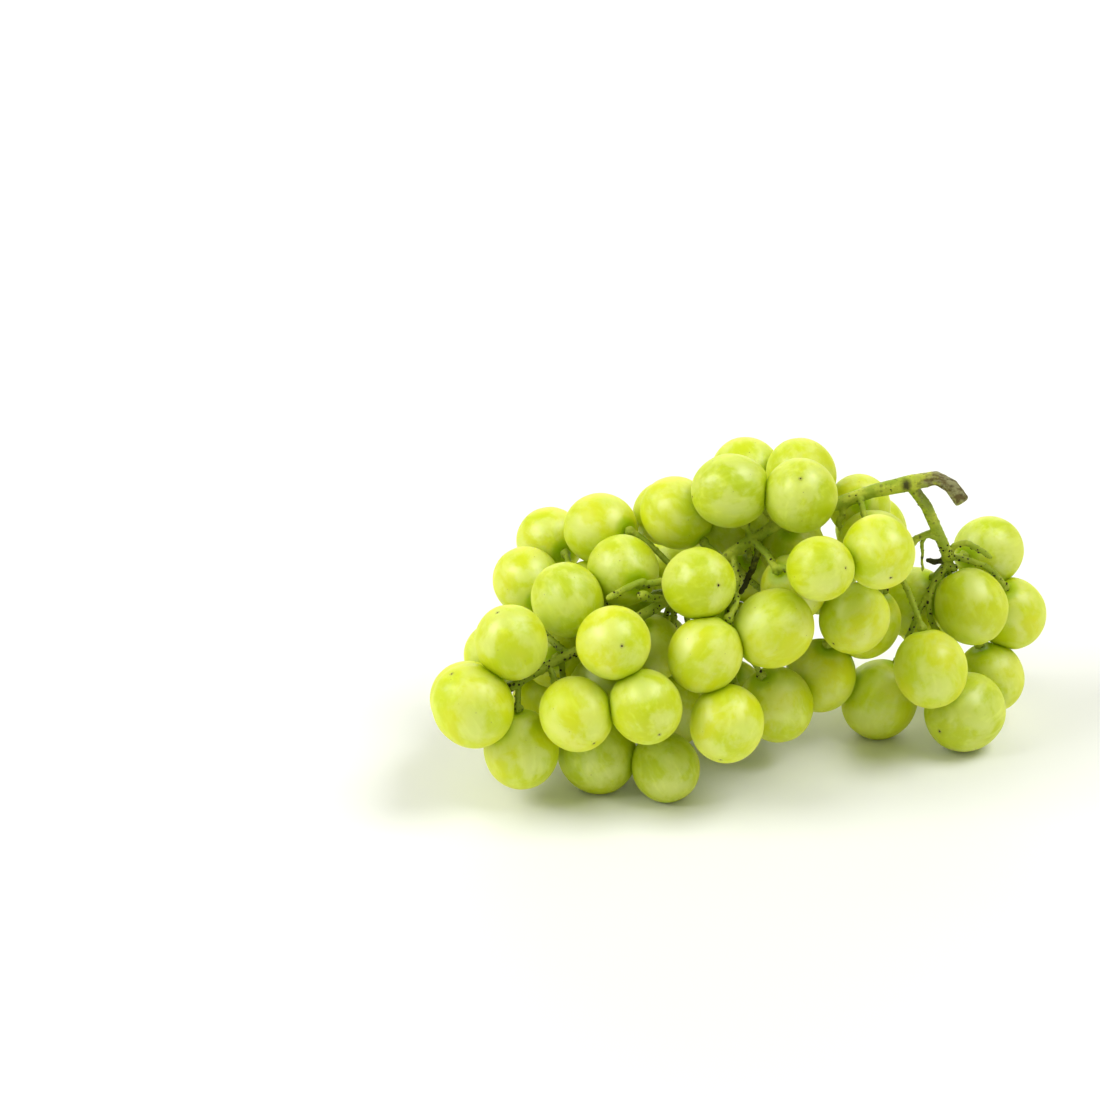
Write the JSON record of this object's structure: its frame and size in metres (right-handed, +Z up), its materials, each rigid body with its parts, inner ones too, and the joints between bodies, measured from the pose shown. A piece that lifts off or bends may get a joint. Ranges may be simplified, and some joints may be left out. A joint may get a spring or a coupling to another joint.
{
  "type": "bunch of grapes",
  "caption": "Bunch of white table grapes lying on its side, round yellow-green berries packed in sprays round a bent green stalk, with a side arm and a cut stalk end.",
  "frame": {"origin": "on the table, under the middle of the bunch's bounding box", "axes": "+X along the bunch towards its stalk, +Y towards its back, +Z up from the table"},
  "size_m": [0.1694, 0.0944, 0.0882],
  "materials": {
    "berry_skin": "thin translucent yellow-green skin with a pale dull bloom",
    "stalk": "matt green stem, brown at the cut end"
  },
  "bodies": {
    "root": {"stem": "stalk", "berries_wing": "berry_skin", "berries_right": "berry_skin", "berries_crown": "berry_skin", "berries_top": "berry_skin", "berries_back": "berry_skin", "berries_middle": "berry_skin", "berries_front": "berry_skin", "berries_left": "berry_skin", "berries_under": "berry_skin", "berries_tip": "berry_skin"}
  },
  "joints": []
}
